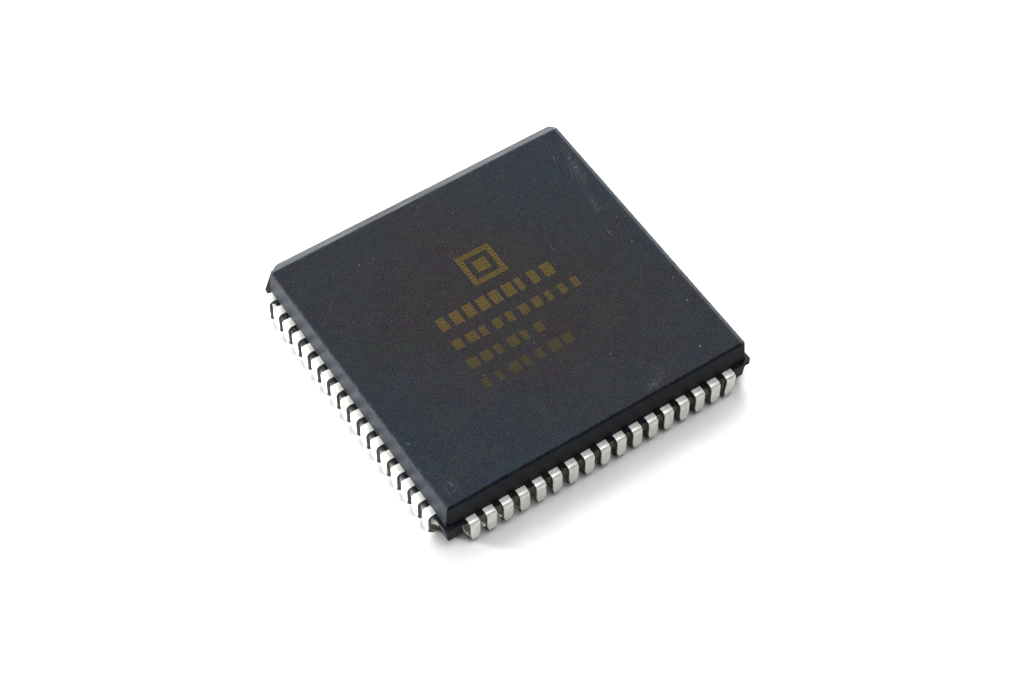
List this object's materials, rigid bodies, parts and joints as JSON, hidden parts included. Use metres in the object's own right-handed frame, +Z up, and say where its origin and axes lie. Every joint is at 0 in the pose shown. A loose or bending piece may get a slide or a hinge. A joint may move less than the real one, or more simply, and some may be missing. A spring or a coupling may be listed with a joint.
{
  "type": "plastic leaded chip carrier",
  "caption": "Square moulded integrated circuit package with rows of J-shaped leads curled under its four sides, a bevelled first side and a chamfered first corner.",
  "frame": {"origin": "centre of the package, on the plane that the lead feet stand on", "axes": "+Z up, out of the top face; +X along the reading direction of the top face; +Y towards the bevelled first side"},
  "size_m": [0.025, 0.025, 0.0044],
  "materials": {
    "mould_compound": "matt, fine spark-eroded mould texture",
    "tinned_lead": "satin tin plating on copper alloy strip",
    "copper_strip": "rolled copper alloy strip",
    "silver_adhesive": "cured silver-filled epoxy",
    "silicon": "polished silicon",
    "gold_wire": "drawn gold wire"
  },
  "bodies": {
    "root": {"moulded_body": "mould_compound", "leads_front": "tinned_lead", "leads_right": "tinned_lead", "leads_back": "tinned_lead", "leads_left": "tinned_lead", "die_paddle": "copper_strip", "die_attach": "silver_adhesive", "silicon_die": "silicon", "bond_wires_front": "gold_wire", "bond_wires_right": "gold_wire", "bond_wires_back": "gold_wire", "bond_wires_left": "gold_wire"}
  },
  "joints": []
}
